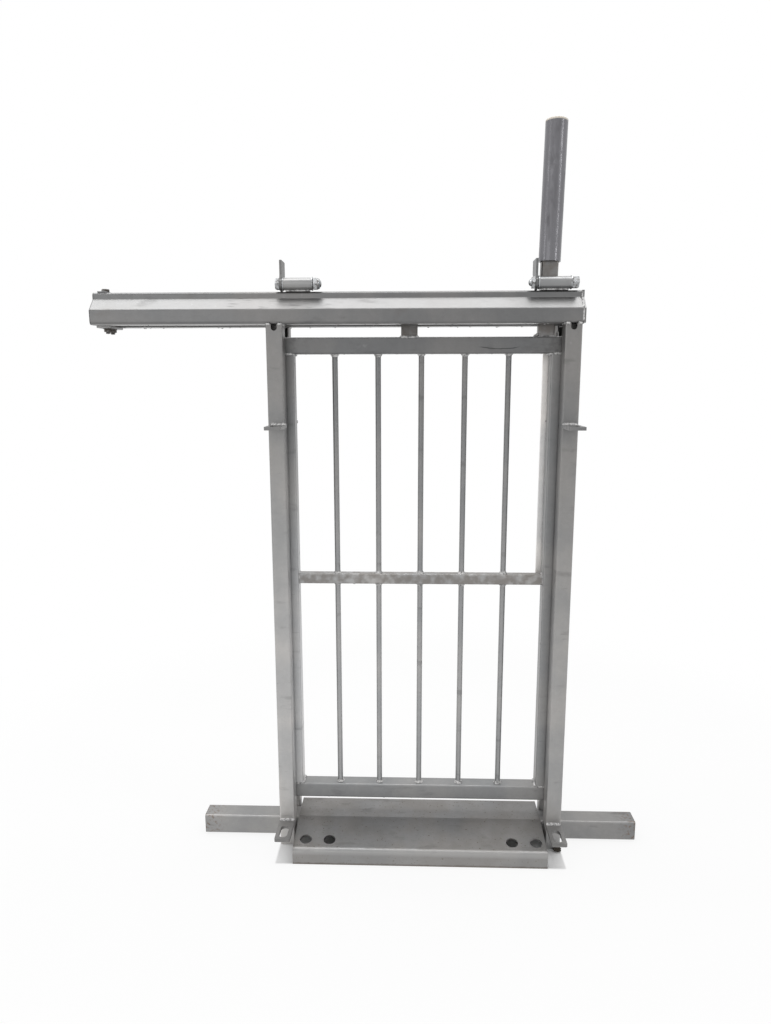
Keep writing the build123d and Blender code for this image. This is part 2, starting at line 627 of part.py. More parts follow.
# Wheels run on the lips of both rails, a pair at each upright
with BuildPart() as wheels_mid:
    with BuildSketch(Plane.XZ.offset(-(WHEEL_IN - WHEEL_W))):
        with Locations((HANGER_X, AXLE_Z)):
            Circle(WHEEL_R)
            Circle(AXLE_R, mode=Mode.SUBTRACT)
    extrude(amount=-WHEEL_W)
    mirror(wheels_mid.part, about=Plane.XZ.offset(-MID_Y))
wheels_mid.part.label = "wheels_mid"
export_step(wheels_mid.part, "parts/wheels_mid.step")

with BuildPart() as wheels_handle:
    with Locations((HANDLE_AXLE_X - HANGER_X, 0, 0)):
        add(wheels_mid.part)
wheels_handle.part.label = "wheels_handle"
export_step(wheels_handle.part, "parts/wheels_handle.step")
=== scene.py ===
# %% [markdown]
# A livestock stop gate in bare galvanised steel. The steel parts come in from the CAD frame, where
# their sizes and joints were settled. This file gives them what a CAD model leaves out: weld beads,
# zinc runs, real bolts and the dull, patchy look of zinc that has stood in the weather.
# The frame could be remodelled here, but then it might drift from its joints, so it is loaded as it is.

# %% Load the frame
import math
import random

import bmesh
import bpy
from mathutils import Matrix, Vector, noise


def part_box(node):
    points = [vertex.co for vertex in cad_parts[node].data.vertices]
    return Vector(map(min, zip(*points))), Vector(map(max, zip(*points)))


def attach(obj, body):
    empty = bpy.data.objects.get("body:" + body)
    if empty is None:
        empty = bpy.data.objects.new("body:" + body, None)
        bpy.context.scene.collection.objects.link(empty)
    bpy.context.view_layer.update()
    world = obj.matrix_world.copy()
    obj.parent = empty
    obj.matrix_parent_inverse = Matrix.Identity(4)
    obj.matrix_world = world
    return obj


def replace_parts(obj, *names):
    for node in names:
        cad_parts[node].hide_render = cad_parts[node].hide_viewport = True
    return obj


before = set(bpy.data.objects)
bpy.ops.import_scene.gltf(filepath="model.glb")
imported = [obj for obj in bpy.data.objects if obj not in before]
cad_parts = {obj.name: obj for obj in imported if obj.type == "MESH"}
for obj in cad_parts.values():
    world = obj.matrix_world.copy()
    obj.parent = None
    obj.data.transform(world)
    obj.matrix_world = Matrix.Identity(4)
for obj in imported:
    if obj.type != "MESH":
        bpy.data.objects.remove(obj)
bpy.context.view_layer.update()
scene = bpy.context.scene

# %% [markdown]
# The places that the welds and bolts need are all read from the CAD boxes, so that each bead sits on
# the joint it closes. Typing them in by hand would also work, but a later change in CAD would leave
# the beads hanging in the air.

# %% Sizes taken from the frame
def low(name):
    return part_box(name)[0]


def high(name):
    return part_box(name)[1]


def middle(name):
    return (low(name) + high(name)) / 2


POST_TOP = high("front_post_left").z
TRACK_TOP = high("rail_front").z
TRACK_FRONT = low("rail_front").y
TRACK_LEFT = low("rail_front").x
MID_Y = middle("leaf_top_rail").y
OPENING = low("front_post_right").x - high("front_post_left").x
BAR_R = (high("leaf_bars").y - low("leaf_bars").y) / 2
SHOULDER_LOW = POST_TOP + 0.0255
SHOULDER_HIGH = POST_TOP + 0.046
SHOULDER_IN = 0.02
GRIP_X = 0.2275
heights = (round(POST_TOP, 3), round(TRACK_TOP, 3))
print("way through", round(OPENING, 3), "post and track tops", heights)

# %% [markdown]
# Zinc is never one flat grey. Its colour is worked out from noise in object space: broad warm and cool
# patches, small crystals, fine grain and dark rubbed marks. The maths is easier to read as sums than
# as a web of nodes, so a small class wraps each socket and turns an expression into Math nodes.

# %% Sockets as numbers
class Wire:
    def __init__(self, bench, socket):
        self.bench = bench
        self.socket = socket

    def __add__(self, other):
        return self.bench.maths("ADD", self, other)

    def __radd__(self, other):
        return self.bench.maths("ADD", other, self)

    def __sub__(self, other):
        return self.bench.maths("SUBTRACT", self, other)

    def __rsub__(self, other):
        return self.bench.maths("SUBTRACT", other, self)

    def __mul__(self, other):
        return self.bench.maths("MULTIPLY", self, other)

    def __rmul__(self, other):
        return self.bench.maths("MULTIPLY", other, self)

    def __abs__(self):
        return self.bench.maths("ABSOLUTE", self, 0.0)


class Bench:
    def __init__(self, tree):
        self.tree = tree

    def node(self, kind, settings=None, inputs=None, out=0):
        made = self.tree.nodes.new(kind)
        for key, value in (settings or {}).items():
            setattr(made, key, value)
        for key, value in (inputs or {}).items():
            if isinstance(value, Wire):
                self.tree.links.new(value.socket, made.inputs[key])
            else:
                made.inputs[key].default_value = value
        return Wire(self, made.outputs[out])

    def maths(self, operation, first, second):
        return self.node("ShaderNodeMath", {"operation": operation}, {0: first, 1: second})

    def step(self, value, start, end):
        limits = {"Value": value, "From Min": start, "From Max": end}
        return self.node("ShaderNodeMapRange", {"interpolation_type": "SMOOTHSTEP"}, limits)

    def backdrop_rays(self):
        kinds = ("Is Camera Ray", "Is Glossy Ray", "Is Transmission Ray")
        seen, mirrored, through = [self.node("ShaderNodeLightPath", out=kind) for kind in kinds]
        return seen + mirrored + through


print("a Wire adds, subtracts and multiplies; a Bench makes any other node")

# %% [markdown]
# A finish is a material on the object's own coordinates. The pieces all stand at the origin, so these
# are also the places on the gate, and a stain can be put where the real gate has it.

# %% Finishes on object coordinates
class Finish(Bench):
    def __init__(self, name, metallic, roughness):
        self.material = bpy.data.materials.new(name)
        self.material.use_nodes = True
        super().__init__(self.material.node_tree)
        self.shader = self.tree.nodes["Principled BSDF"]
        self.shader.inputs["Metallic"].default_value = metallic
        self.shader.inputs["Roughness"].default_value = roughness
        self.place = self.node("ShaderNodeTexCoord", out="Object")

    def noise(self, size, detail=2.0, stretch=(1, 1, 1)):
        placed = self.node("ShaderNodeMapping", {}, {"Vector": self.place, "Scale": stretch})
        inputs = {"Vector": placed, "Scale": 1 / size, "Detail": detail}
        return self.node("ShaderNodeTexNoise", {}, inputs)

    def along(self, axis):
        return self.node("ShaderNodeSeparateXYZ", {}, {"Vector": self.place}, out=axis)

    def near(self, point, inner, outer):
        between = {0: self.place, 1: point}
        away = self.node("ShaderNodeVectorMath", {"operation": "DISTANCE"}, between, out="Value")
        return self.step(away, outer, inner)

    def mix(self, amount, first, second):
        settings = {"data_type": "RGBA"}
        return self.node("ShaderNodeMix", settings, {0: amount, 6: first, 7: second}, out=2)

    def shade(self, colour, tone):
        return self.node("ShaderNodeVectorMath", {"operation": "SCALE"}, {0: colour, "Scale": tone})

    def set(self, **links):
        for key, value in links.items():
            self.tree.links.new(value.socket, self.shader.inputs[key.replace("_", " ")])

    def bump(self, height, strength, distance):
        inputs = {"Height": height, "Strength": strength, "Distance": distance}
        self.set(Normal=self.node("ShaderNodeBump", {}, inputs))


def grey(level, warm=0.0):
    return (level * (1 + warm), level, level * (1 - warm), 1)


print("finish helpers ready")

# %% [markdown]
# Hot-dip zinc on tube is dull, with broad clouds, faint crystals and long runs. Its tone is also raised
# as the height falls, and a little more towards the left end where the leaf opens. This is painted
# light, for the bright ground mirrored in the lower steel and for light coming from the left. One
# recipe with a few dials makes every zinc on the gate, and a wear function adds what only one piece
# has. Separate recipes would be simpler to start with, but they would drift apart.

# %% Galvanised steel
def galvanised(name, level, low_left_light=0.9, roughness=0.42, marks=0.5, warm=0.0, wear=None):
    f = Finish(name, 0.72, roughness)
    clouds = f.step(f.noise(0.11, 3), 0.35, 0.65)
    cells = f.node("ShaderNodeTexVoronoi", {}, {"Vector": f.place, "Scale": 150.0}, out="Color")
    crystal = f.node("ShaderNodeSeparateColor", {}, {"Color": cells})
    grain = f.noise(0.0022, 2)
    runs = f.noise(0.02, 2, (1, 1, 0.12))
    # Painted light: the tone rises towards the ground and towards the left, standing in for the bright
    # floor mirrored low down and for light from the left.
    painted_low_left_light = f.step(f.along("Z"), 1.05, 0.25) * (1 - 0.9 * f.along("X"))
    tone = (0.8 + 0.14 * clouds + 0.05 * crystal + 0.12 * grain + 0.12 * runs) * (1 + low_left_light * painted_low_left_light)
    colour = f.shade(f.mix(clouds, grey(level, warm - 0.012), grey(level * 1.04, warm + 0.012)), tone)
    rubbed = f.step(f.noise(0.026, 4, (0.35, 1, 1.3)), 0.6, 0.72)
    scratch = f.step(f.noise(0.006, 3, (0.12, 1, 1)), 0.68, 0.74)
    colour = f.mix(marks * (0.5 * rubbed + 0.4 * scratch), colour, grey(level * 0.45, warm))
    pale = f.step(f.noise(0.016, 5), 0.66, 0.78)
    colour = f.mix(0.3 * pale, colour, grey(level * 1.9, warm))
    if wear:
        colour = wear(f, colour, level)
    f.set(Base_Color=colour, Roughness=roughness - 0.05 + 0.1 * clouds + 0.1 * rubbed)
    f.bump(0.5 * grain + 0.5 * f.noise(0.012, 3), 0.14, 0.0005)
    return f.material


print("one recipe for all the zinc")

# %% [markdown]
# Wear is what tells two pieces of the same steel apart. Feet and hooves muddy the sill, the cut ends of
# the base tube have begun to rust, and the track's shoulder has scratches below the left latch. Some of
# these sums paint light instead: a painted highlight on the sill's folded edge and on the track's
# sloped shoulder, painted light on the sill's front flange, and a painted reflection of the floor on
# the track's underside. An oily film darkens the hanger, the handle post and the middle rail. The top
# rail has a dark line like a crack, and the keeper strip a dark spot. All this could be painted on a
# picture, but the places are known on the gate, so a few sums on them will do.

# %% Wear of single pieces
def rusty_ends(f, colour, level):
    far = f.step(abs(f.along("X")), 0.39, 0.437)
    spots = f.step(f.noise(0.006, 4), 0.5, 0.66)
    colour = f.mix(0.7 * far * spots, colour, (0.14, 0.075, 0.04, 1))
    edge = f.step(f.along("Z"), 0.036, 0.04) * f.step(f.along("Y"), 0.0345, 0.032)
    colour = f.mix(0.15 * edge * f.step(f.noise(0.02, 3), 0.4, 0.6), colour, grey(level * 2.0))
    cut = f.step(abs(f.along("X") + 0.002), 0.4368, 0.4378)
    return f.mix(0.6 * cut, colour, (0.07, 0.055, 0.04, 1))


def trodden_and_painted_light(f, colour, level):
    fold = f.step(f.along("Y"), -0.0535, -0.0565) * f.step(f.along("Z"), 0.018, 0.024)
    mud = f.step(f.noise(0.05, 6), 0.35, 0.68)
    specks = f.step(f.noise(0.0042, 3), 0.66, 0.7)
    lower_edge = f.step(f.along("Z") + 0.004 * f.noise(0.01, 3), 0.007, 0.003)
    colour = f.mix(0.26 * mud * (1 - fold), colour, (0.13, 0.112, 0.092, 1))
    colour = f.mix(0.75 * specks * (1 - fold), colour, (0.09, 0.065, 0.045, 1))
    # Painted highlight: the folded edge is made lighter where it catches the light.
    colour = f.mix(0.3 * fold, colour, grey(level * 2.2, 0.01))
    # Painted light: the front flange is made lighter, as a face turned to the light.
    flange = f.step(f.along("Y"), -0.0585, -0.0605)
    colour = f.mix(0.3 * flange, colour, grey(level * 2.0, 0.02))
    return f.mix(0.6 * lower_edge, colour, (0.1, 0.075, 0.055, 1))


def scratched_and_painted_light(f, colour, level):
    x, z = f.along("X"), f.along("Z")
    above_lower_face = f.step(z, SHOULDER_LOW - 0.0015, SHOULDER_LOW + 0.0015)
    below_upper_face = f.step(z, SHOULDER_HIGH + 0.002, SHOULDER_HIGH - 0.001)
    shoulder = above_lower_face * below_upper_face
    here = shoulder * f.step(x, -0.36, -0.34) * f.step(x, -0.15, -0.17)
    lines = f.step(f.noise(0.004, 4, (0.1, 1, 1)), 0.56, 0.66)
    # Painted highlight: the sloped shoulder is made lighter where it catches the overhead lamp.
    colour = f.mix(0.32 * shoulder, colour, grey(level * 1.7, 0.01))
    colour = f.mix(0.45 * here * lines, colour, grey(level * 0.3))
    stain = f.step(f.noise(0.045, 4, (0.6, 1, 1)), 0.6, 0.7)
    colour = f.mix(0.22 * stain, colour, (0.12, 0.11, 0.1, 1))
    # Painted reflection: the track's underside is made lighter, for the bright floor it mirrors.
    under = f.step(z, POST_TOP + 0.0014, POST_TOP + 0.0004)
    colour = f.mix(0.6 * under, colour, grey(level * 2.4, 0.01))
    cut = f.step(x, TRACK_LEFT + 0.0022, TRACK_LEFT + 0.0008)
    return f.mix(0.65 * cut, colour, grey(level * 0.25))


def cracked(f, colour, level):
    x, z = f.along("X"), f.along("Z")
    height = low("leaf_top_rail").z + 0.0105
    sag = f.maths("SINE", 43 * x - 4.5, 0.0)
    line = f.step(abs(z - height + 0.0035 * sag - 0.003 * f.noise(0.01, 3)), 0.0011, 0.0005)
    here = f.step(x, 0.10, 0.11) * f.step(x, 0.18, 0.165)
    colour = f.mix(0.75 * line * here, colour, grey(level * 0.25))
    ends = f.step(abs(x), 0.19, 0.245)
    return f.mix(0.4 * ends * f.step(f.noise(0.012, 4), 0.45, 0.65), colour, grey(level * 0.5))


def oily(f, colour, level):
    film = f.step(f.noise(0.014, 4), 0.3, 0.62)
    return f.mix(0.6 * film, colour, (level * 0.62, level * 0.54, level * 0.47, 1))


def marked(f, colour, level):
    spot = f.near((OPENING / 2 - 0.0145, middle("keeper_strip").y, 0.845), 0.003, 0.0042)
    streak = f.step(f.noise(0.01, 4, (1, 1, 0.2)), 0.55, 0.75)
    colour = f.mix(0.3 * streak, colour, (level * 0.6, level * 0.56, level * 0.5, 1))
    return f.mix(0.85 * spot, colour, grey(0.08))


print("six kinds of wear ready")

# %% [markdown]
# Each piece, or group of like pieces, gets a zinc of its own from the one recipe. One shared material
# would be lighter, but tubes come out of the bath in different tones, and the eye tells them apart by
# that. Two tones are painted light as well: the left stile is made darker above, a painted shade of the
# left post, and the keeper strip is made very pale, a painted light on a strip that stands in shade.

# %% A zinc for each piece
bar_zinc = galvanised("bar_zinc", 0.18, low_left_light=1.1)
# The left stile is darker and its tone rises steeply downwards: painted shade of the left post on its
# upper part.
post_shaded_left_stile_zinc = galvanised("post_shaded_left_stile_zinc", 0.165, low_left_light=1.9)
right_stile_zinc = galvanised("right_stile_zinc", 0.23, low_left_light=0.35)
left_post_zinc = galvanised("left_post_zinc", 0.2, low_left_light=1.1, warm=0.015)
right_post_zinc = galvanised("right_post_zinc", 0.195, low_left_light=1.0, warm=0.015)
top_rail_zinc = galvanised("top_rail_zinc", 0.158, wear=cracked)
mid_rail_zinc = galvanised("mid_rail_zinc", 0.25, low_left_light=0.75, marks=0.9, warm=0.01, wear=oily)
low_rail_zinc = galvanised("low_rail_zinc", 0.2, low_left_light=0.45)
track_zinc = galvanised("track_zinc", 0.165, roughness=0.36, marks=0.4, warm=0.005, wear=scratched_and_painted_light)
base_zinc = galvanised("base_zinc", 0.19, low_left_light=0.42, marks=0.7, warm=0.01, wear=rusty_ends)
sill_zinc = galvanised("sill_zinc", 0.2, low_left_light=0.15, marks=0.6, warm=0.01, wear=trodden_and_painted_light)
lug_zinc = galvanised("lug_zinc", 0.2, low_left_light=0.0, roughness=0.45, marks=0.7, warm=0.01)
latch_tube_zinc = galvanised("latch_tube_zinc", 0.27, roughness=0.36)
latch_plate_zinc = galvanised("latch_zinc", 0.15, roughness=0.4, marks=0.8)
hanger_zinc = galvanised("hanger_zinc", 0.14, warm=0.03, wear=oily)
handle_zinc = galvanised("handle_zinc", 0.21, warm=0.02, wear=oily)
# The keeper strip's zinc is made very pale: painted light on a strip that stands behind the leaf in
# shade.
painted_lit_strip_zinc = galvanised("painted_lit_strip_zinc", 0.85, low_left_light=0.0, roughness=0.5, marks=0.2, warm=0.02, wear=marked)
print("zinc finishes", len([m for m in bpy.data.materials if m.name.endswith("_zinc")]))

# %% [markdown]
# Weld metal takes the zinc more thickly and comes out paler and rougher than the tube. Plated bolts are
# brighter and smoother, with a darker film in patches. One zinc for all of it would be simpler, but
# the joints would then melt into the tubes.

# %% Weld metal, bolts and lock rings
weld = Finish("weld_zinc", 0.5, 0.5)
weld_grain = weld.noise(0.004, 4)
weld.set(Base_Color=weld.mix(weld.step(weld_grain, 0.35, 0.6), grey(0.22), grey(0.56, 0.01)))
weld.bump(weld_grain, 0.5, 0.0006)

bolt = Finish("bolt_zinc", 0.85, 0.3)
film = bolt.step(bolt.noise(0.005, 4), 0.45, 0.68)
bolt.set(Base_Color=bolt.mix(film, grey(0.4, -0.02), grey(0.17, 0.03)), Roughness=0.26 + 0.25 * film)
bolt.bump(bolt.noise(0.0015, 2), 0.2, 0.0003)

stop_bolt = Finish("stop_bolt_zinc", 0.6, 0.45)
old_film = stop_bolt.step(stop_bolt.noise(0.005, 4), 0.3, 0.6)
stop_bolt.set(Base_Color=stop_bolt.mix(old_film, grey(0.2, 0.02), (0.07, 0.06, 0.052, 1)))
stop_bolt.bump(stop_bolt.noise(0.0015, 2), 0.25, 0.0003)

ring_plastic = Finish("lock_ring", 0.0, 0.4)
ring_tone = ring_plastic.noise(0.004, 3)
ring_plastic.set(Base_Color=ring_plastic.mix(ring_tone, (0.32, 0.42, 0.47, 1), (0.5, 0.6, 0.64, 1)))

nylon = Finish("wheel_nylon", 0.0, 0.42)
grime = nylon.step(nylon.noise(0.008, 4), 0.42, 0.66)
nylon.set(Base_Color=nylon.mix(grime, grey(0.62, 0.03), grey(0.24, 0.1)), Roughness=0.4 + 0.3 * grime)

clod = Finish("dry_dirt", 0.0, 0.95)
clod.set(Base_Color=clod.mix(clod.noise(0.003, 4), (0.012, 0.01, 0.008, 1), (0.06, 0.048, 0.035, 1)))
clod.bump(clod.noise(0.0015, 3), 0.6, 0.0006)
print("fittings finishes made")

# %% [markdown]
# The grip is a plain grey tube, smooth enough to mirror the light in upright strips, and darkened along
# its middle by hands. Its end is closed by a pale, tan coloured disc. The strips could be part of the
# colour, but they would stay put when the view turns, so the surface is left to mirror narrow lamps.

# %% Grip and its cap
grip = Finish("grip_grey", 0.5, 0.28)
hands = grip.step(grip.noise(0.03, 4, (1.6, 1.6, 0.3)), 0.42, 0.66)
scuff = grip.step(grip.noise(0.009, 4, (1, 1, 0.35)), 0.6, 0.7)
palm = grip.step(abs(grip.along("X") - GRIP_X), 0.012, 0.006)
facing = grip.step(grip.along("Y"), MID_Y, MID_Y - 0.008)
smear = grip.step(grip.noise(0.012, 5, (1, 1, 0.3)), 0.46, 0.58) * (palm * facing)
grip.set(
    Base_Color=grip.mix(
        0.35 * hands + 0.3 * scuff + 0.3 * smear, (0.172, 0.17, 0.182, 1), (0.1, 0.098, 0.105, 1)),
    Roughness=0.24 + 0.12 * hands + 0.15 * scuff + 0.15 * smear,
)
grip.bump(grip.noise(0.004, 3, (1, 1, 0.2)), 0.05, 0.0004)

cap = Finish("cap_tan", 0.0, 0.55)
cap_tone = cap.step(cap.noise(0.009, 3), 0.3, 0.7)
cap.set(Base_Color=cap.mix(cap_tone, (0.5, 0.44, 0.37, 1), (0.6, 0.56, 0.5, 1)))
print("grip finishes made")

# %% [markdown]
# A CAD node keeps its shape and only gets a better material in its slots. A new mesh over it would also
# work, but it would have to be fitted, and the node's shape is right already.

# %% Give each CAD piece its finish
def paint(material, *names):
    for name in names:
        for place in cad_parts[name].material_slots:
            place.material = material


LUGS = [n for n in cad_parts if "_lug_" in n]
POSTS = [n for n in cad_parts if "_post_" in n]
paint(left_post_zinc, "front_post_left", "rear_post_left")
paint(right_post_zinc, "front_post_right", "rear_post_right")
paint(post_shaded_left_stile_zinc, "leaf_stile_left")
paint(right_stile_zinc, "leaf_stile_right")
paint(bar_zinc, "leaf_bars")
paint(mid_rail_zinc, "leaf_mid_rail")
paint(top_rail_zinc, "leaf_top_rail")
paint(low_rail_zinc, "leaf_bottom_rail")
paint(hanger_zinc, "hanger")
paint(handle_zinc, "handle_post")
paint(painted_lit_strip_zinc, "keeper_strip")
paint(track_zinc, "rail_front", "rail_rear", "track_end_cap", "track_stop_flats")
paint(latch_tube_zinc, "latch_tube_left", "latch_tube_right")
paint(latch_plate_zinc, "latch_plate_left", "latch_plate_right")
paint(base_zinc, "base_tube")
paint(sill_zinc, "sill_plate")
paint(lug_zinc, *LUGS)
paint(bolt.material, "axle_mid", "axle_handle", "latch_bolt_left", "latch_bolt_right")
paint(stop_bolt.material, "track_stop_bolts")
paint(grip.material, "grip_sleeve")
paint(cap.material, "grip_cap")
paint(nylon.material, "wheels_mid", "wheels_handle")
print("lugs", len(LUGS), "posts", len(POSTS))

# %% [markdown]
# Every new piece ends the same way: its mesh goes into an object at the origin, rides on a body and
# takes its material. One helper does that, so that no piece is forgotten.

# %% Keep a finished piece
def keep(bm, name, material, body, smooth=40):
    bmesh.ops.remove_doubles(bm, verts=bm.verts, dist=1e-6)
    bmesh.ops.recalc_face_normals(bm, faces=bm.faces)
    for face in bm.faces:
        face.smooth = True
    for edge in bm.edges:
        if len(edge.link_faces) == 2 and edge.calc_face_angle() > math.radians(smooth):
            edge.smooth = False
    mesh = bpy.data.meshes.new(name)
    bm.to_mesh(mesh)
    bm.free()
    mesh.materials.append(material)
    made = bpy.data.objects.new(name, mesh)
    scene.collection.objects.link(made)
    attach(made, body)
    print(name, len(mesh.polygons), "faces")
    return made


# %% [markdown]
# A weld bead is a row of small frozen ripples. It could be a bumpy texture, but then it would be flat
# from the side. Here a ring is pulled along the joint in short steps, a little fatter and thinner each
# time, and its ends are drawn in and closed.

# %% Pull a weld bead along a joint
chance = random.Random(7)
BEAD = 0.0055
RIPPLE = 0.42


def turn_to(direction):
    return direction.to_track_quat("Z", "Y").to_matrix().to_4x4()


def bead(bm, start, end, width=BEAD, sides=8):
    start, end = Vector(start), Vector(end)
    run = end - start
    steps = max(4, round(run.length / (width * RIPPLE)))
    here = Matrix.Translation(start) @ turn_to(run)
    sizes = [0.55]
    for step in range(1, steps):
        sizes.append((1.0 if step % 2 else 0.8) * chance.uniform(0.9, 1.12))
    sizes.append(0.5)
    first_r = width / 2 * sizes[0]
    ring = bmesh.ops.create_circle(bm, segments=sides, radius=first_r, matrix=here)["verts"]
    loop = list({edge for vert in ring for edge in vert.link_edges})
    bmesh.ops.contextual_create(bm, geom=loop)
    for step in range(steps):
        grown = bmesh.ops.extrude_edge_only(bm, edges=loop)["geom"]
        ring = [item for item in grown if isinstance(item, bmesh.types.BMVert)]
        loop = [item for item in grown if isinstance(item, bmesh.types.BMEdge)]
        bmesh.ops.translate(bm, verts=ring, vec=run / steps)
        centre = start + run * (step + 1) / steps
        scale = sizes[step + 1] / sizes[step]
        bmesh.ops.scale(bm, verts=ring, vec=(scale, scale, scale), space=Matrix.Translation(-centre))
    bmesh.ops.contextual_create(bm, geom=loop)


def bead_box(bm, x0, x1, y0, y1, z, width=BEAD):
    corners = [Vector((x0, y0, z)), Vector((x1, y0, z)), Vector((x1, y1, z)), Vector((x0, y1, z))]
    for first, second in zip(corners, corners[1:] + corners[:1]):
        bead(bm, first, second, width)


print("a bead takes", round(0.03 / (BEAD * RIPPLE)), "steps in 30 mm")

# %% [markdown]
# Washers, shanks, threads and the collars of weld round each bar are all round. They could be joined
# from cylinders, but then their steps and slopes would need a piece each. Here one profile is drawn as
# a line of points and spun about its axis.

# %% Spin round parts and spread them out
def turned(bm, start, axis, profile, steps=28):
    place = Matrix.Translation(Vector(start)) @ turn_to(Vector(axis))
    points = [bmesh.ops.create_vert(bm, co=place @ Vector((r, 0, h)))["vert"][0] for r, h in profile]
    line = [bm.edges.new(pair) for pair in zip(points, points[1:])]
    spun = bmesh.ops.spin(bm, geom=points + line, cent=Vector(start), axis=Vector(axis).normalized(),
                          angle=2 * math.pi, steps=steps, use_merge=True)
    return points + [item for item in spun["geom_last"] if isinstance(item, bmesh.types.BMVert)]


def spread(first, last, count):
    return [first + (last - first) * step / (count - 1) for step in range(count)]


def fillet_ring(bm, x, y, z, up, radius):
    reach, tall = chance.uniform(0.0028, 0.004), chance.uniform(0.0036, 0.0062)
    inside = radius - 0.0008
    sunk = -0.0006
    profile = [(inside, sunk), (radius + reach, sunk), (radius + reach * 0.85, tall * 0.22),
               (radius + reach * 0.35, tall * 0.6), (radius + 0.0002, tall), (inside, tall),
               (inside, sunk)]
    turned(bm, (x, y, z), (0, 0, up), profile, 20)


print("spinning helpers ready")

# %% [markdown]
# Each joint of the fixed frame gets its beads: the lugs at the posts, the posts under the track and
# against the base tube, the end cap and the latch tubes. On the real gate the welds that take load are
# the longest, so those run the full width and the rest are short stitches. Those at a post's top stop
# short of its vent notch, which lets air out in the zinc bath.

# %% Welds of the fixed frame
bm = bmesh.new()
for name in LUGS:
    near = high(name).y if name.startswith("front") else low(name).y
    for z, inset, width in ((high(name).z, 0.001, 0.0078), (low(name).z, 0.006, 0.0055)):
        bead(bm, (low(name).x + inset, near, z), (high(name).x - inset, near, z), width)
keep(bm, "lug_welds", weld.material, "frame")

bm = bmesh.new()
for name in POSTS:
    side_in, side_out = low(name), high(name)
    centre = middle(name).x
    vent_half = 0.0068
    face = side_in.y if name.startswith("front") else side_out.y
    bead(bm, (side_in.x + 0.001, face, POST_TOP), (centre - vent_half, face, POST_TOP), 0.005)
    bead(bm, (centre + vent_half, face, POST_TOP), (side_out.x - 0.001, face, POST_TOP), 0.005)
    for x in (side_in.x, side_out.x):
        bead(bm, (x, side_in.y + 0.003, POST_TOP), (x, side_out.y - 0.003, POST_TOP), 0.0045)
        base_y = side_out.y if name.startswith("front") else side_in.y
        base_low, base_high = low("base_tube").z + 0.004, high("base_tube").z - 0.003
        bead(bm, (x, base_y, base_low), (x, base_y, base_high), 0.005)
keep(bm, "post_welds", weld.material, "frame")

bm = bmesh.new()
cap_x = low("track_end_cap").x
for face_y, inwards in ((TRACK_FRONT, 1), (high("rail_rear").y, -1)):
    foot_y = face_y + 0.0005 * inwards
    neck_y = face_y + SHOULDER_IN * inwards
    bead(bm, (cap_x, foot_y, POST_TOP + 0.004), (cap_x, foot_y, SHOULDER_LOW - 0.0005), 0.004)
    bead(bm, (cap_x, face_y + 0.001 * inwards, SHOULDER_LOW), (cap_x, neck_y, SHOULDER_HIGH), 0.004)
    bead(bm, (cap_x, neck_y, SHOULDER_HIGH + 0.0005), (cap_x, neck_y, TRACK_TOP - 0.002), 0.004)
keep(bm, "end_cap_welds", weld.material, "frame")

bm = bmesh.new()
for name in ("latch_tube_left", "latch_tube_right"):
    left, right, z = low(name).x + 0.004, high(name).x - 0.004, TRACK_TOP + 0.0012
    for y in (0.0185, 0.0265):
        bead(bm, (left, y, z), (right, y, z), 0.0036)
strip_x, strip_y = high("keeper_strip").x, low("keeper_strip").y
for z in spread(low("keeper_strip").z + 0.012, high("keeper_strip").z - 0.038, 5):
    bead(bm, (strip_x, strip_y, z), (strip_x, strip_y, z + 0.028), 0.0045)
keep(bm, "latch_and_strip_welds", weld.material, "frame")

# %% [markdown]
# The sill is held by stitches along the base tube, under its front slope. One long bead would be
# stronger, but it would warp a thin plate, so short ones are spaced out.

# %% Welds of the sill
bm = bmesh.new()
seam_y, seam_z = low("base_tube").y + 0.0015, high("base_tube").z - 0.0012
sill_lo, sill_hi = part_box("sill_plate")
for x in spread(sill_lo.x + 0.03, sill_hi.x - 0.06, 5):
    bead(bm, (x, seam_y, seam_z), (x + 0.03, seam_y, seam_z), 0.005)
keep(bm, "sill_welds", weld.material, "frame")

# %% [markdown]
# The leaf is welded all round at its corners, at the ends of the mid rail and at every bar. A bar's
# weld is a small flared collar, which is a profile spun about the bar. Straight beads could be laid
# round it too, but they would leave corners on a round bar.

# %% Welds of the leaf
bm = bmesh.new()
front_y, back_y = low("leaf_top_rail").y, high("leaf_top_rail").y
for stile in ("leaf_stile_left", "leaf_stile_right"):
    x0, x1 = low(stile).x, high(stile).x
    for z in (low(stile).z, high(stile).z):
        for y in (front_y, back_y):
            bead(bm, (x0 + 0.003, y, z), (x1 - 0.002, y, z), 0.0046)
        inner = x1 if stile.endswith("left") else x0
        bead(bm, (inner, front_y + 0.001, z), (inner, back_y - 0.001, z), 0.0085)
rail_lo, rail_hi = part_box("leaf_mid_rail")
for x in (rail_lo.x, rail_hi.x):
    for y in (rail_lo.y, rail_hi.y):
        bead(bm, (x, y, rail_lo.z + 0.002), (x, y, rail_hi.z - 0.002), 0.004)
    for z in (rail_lo.z, rail_hi.z):
        bead(bm, (x, rail_lo.y + 0.002, z), (x, rail_hi.y - 0.002, z), 0.004)
keep(bm, "leaf_corner_welds", weld.material, "leaf")

bm = bmesh.new()
bar_ends = ((low("leaf_bars").z, 1), (rail_lo.z, -1), (rail_hi.z, 1), (high("leaf_bars").z, -1))
for x in spread(low("leaf_bars").x + BAR_R, high("leaf_bars").x - BAR_R, 5):
    for z, up in bar_ends:
        fillet_ring(bm, x, MID_Y, z, up, BAR_R)
keep(bm, "bar_welds", weld.material, "leaf")

